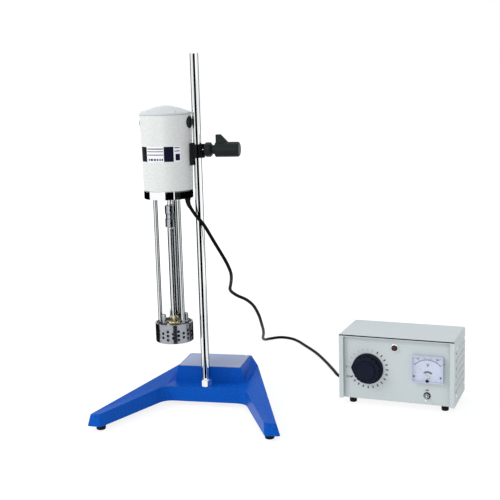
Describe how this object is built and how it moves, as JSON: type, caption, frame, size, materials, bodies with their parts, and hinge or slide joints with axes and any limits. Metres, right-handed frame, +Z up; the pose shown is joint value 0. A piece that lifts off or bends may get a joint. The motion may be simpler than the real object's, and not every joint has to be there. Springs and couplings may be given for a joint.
{
  "type": "laboratory homogenizer",
  "caption": "Laboratory homogenizer: cast stand with a chromed column, a motor head driving a perforated working ring on rods, and a separate control box with knob and meter.",
  "frame": {"origin": "middle of the whole footprint at floor level, motor lead left out", "axes": "+Z up along the column, +X to the right along the front of the stand, front faces -Y"},
  "size_m": [0.6928, 0.7044, 0.698],
  "materials": {
    "blue_enamel": "gloss blue stove enamel",
    "white_enamel": "gloss off-white enamel",
    "chrome": "bright chrome plate",
    "ground_steel": "ground steel",
    "stainless": "machined stainless steel",
    "brass": "machined brass",
    "copper": "machined copper",
    "black_plastic": "satin black moulding",
    "black_enamel": "satin black enamel on a die casting",
    "black_rubber": "matt black rubber",
    "nylon": "natural nylon",
    "carbon": "pressed carbon",
    "grey_enamel": "pale grey-green enamel",
    "bare_plate": "satin blue-grey plate",
    "zinc_sheet": "zinc-plated sheet",
    "iron_winding": "varnished laminations and wire",
    "clear_acrylic": "clear acrylic",
    "meter_moulding": "pale clear-faced moulding",
    "red_lens": "dark red translucent moulding"
  },
  "bodies": {
    "stand": {"base_casting": "blue_enamel", "name_plate": "bare_plate", "column": "chrome", "column_collar": "chrome", "column_nut": "ground_steel", "stand_foot_front_left": "black_rubber", "stand_foot_front_right": "black_rubber", "stand_foot_rear_left": "black_rubber", "stand_foot_rear_right": "black_rubber", "box_cover": "grey_enamel", "box_chassis": "zinc_sheet", "front_panel": "grey_enamel", "box_foot_front_left": "black_rubber", "box_foot_front_right": "black_rubber", "box_foot_rear_left": "black_rubber", "box_foot_rear_right": "black_rubber", "variac_core": "iron_winding", "meter_case": "meter_moulding", "meter_window": "clear_acrylic", "pilot_bezel": "chrome", "pilot_lens": "red_lens", "toggle_body": "chrome", "mains_inlet": "black_plastic", "box_gland": "black_rubber", "motor_lead": "black_rubber"},
    "carriage": {"clamp_liner": "nylon"},
    "head": {"clamp_bracket": "black_enamel", "motor_housing": "white_enamel", "motor_lid": "white_enamel", "motor_end_ring": "chrome", "brush_cap_left": "black_plastic", "brush_cap_right": "black_plastic", "carbon_brush_left": "carbon", "carbon_brush_right": "carbon", "field_stator": "iron_winding", "upper_bearing": "ground_steel", "lower_bearing": "ground_steel", "motor_gland": "black_rubber", "support_rod_1": "ground_steel", "support_rod_2": "ground_steel", "support_rod_3": "ground_steel", "head_plate": "stainless", "head_bush": "brass", "stator_ring": "stainless", "cap_nut_1": "stainless", "cap_nut_2": "stainless", "cap_nut_3": "stainless"},
    "drive": {"armature": "iron_winding", "commutator": "copper", "cooling_fan": "black_plastic", "shaft_coupling": "stainless", "drive_shaft": "ground_steel", "rotor_blade": "stainless"},
    "handle": {"clamp_stud": "chrome", "clamp_handle": "black_plastic"},
    "lock_nut": {"clamp_lock_nut": "black_plastic"},
    "knob": {"control_knob": "black_plastic", "variac_shaft": "ground_steel"},
    "needle": {"meter_needle": "black_plastic"},
    "toggle": {"toggle_lever": "chrome"}
  },
  "joints": [
    {"name": "head_height", "type": "slide", "parent": "stand", "child": "carriage", "axis": [0, 0, 1], "range_m": [-0.06, 0.165], "deforming": ["motor_lead"]},
    {"name": "head_swivel", "type": "hinge", "parent": "carriage", "child": "head", "pos_m": [-0.16177, 0.0029, 0.5143], "axis": [0, 0, 1], "range_deg": [-90, 90]},
    {"name": "drive_spin", "type": "hinge", "parent": "head", "child": "drive", "pos_m": [-0.22327, 0.0029, 0.45], "axis": [0, 0, 1], "continuous": true},
    {"name": "clamp_handle_turn", "type": "hinge", "parent": "head", "child": "handle", "pos_m": [-0.16177, 0.0029, 0.5143], "axis": [1, 0, 0], "range_deg": [-90, 360]},
    {"name": "clamp_lock_nut_turn", "type": "hinge", "parent": "head", "child": "lock_nut", "pos_m": [-0.16177, 0.0029, 0.5143], "axis": [1, 0, 0], "range_deg": [-180, 360]},
    {"name": "knob_turn", "type": "hinge", "parent": "stand", "child": "knob", "pos_m": [0.16784, 0.09577, 0.0763], "axis": [0.1573, 0.9876, 0], "range_deg": [0, 330]},
    {"name": "meter_needle_swing", "type": "hinge", "parent": "stand", "child": "needle", "pos_m": [0.28536, 0.07705, 0.0706], "axis": [0.1573, 0.9876, 0], "range_deg": [0, 96], "stiffness_Nm_per_rad": 0.0005},
    {"name": "power_toggle", "type": "hinge", "parent": "stand", "child": "toggle", "pos_m": [0.27486, 0.02196, 0.0313], "axis": [0.9876, -0.1573, 0], "range_deg": [-48, 0]}
  ]
}
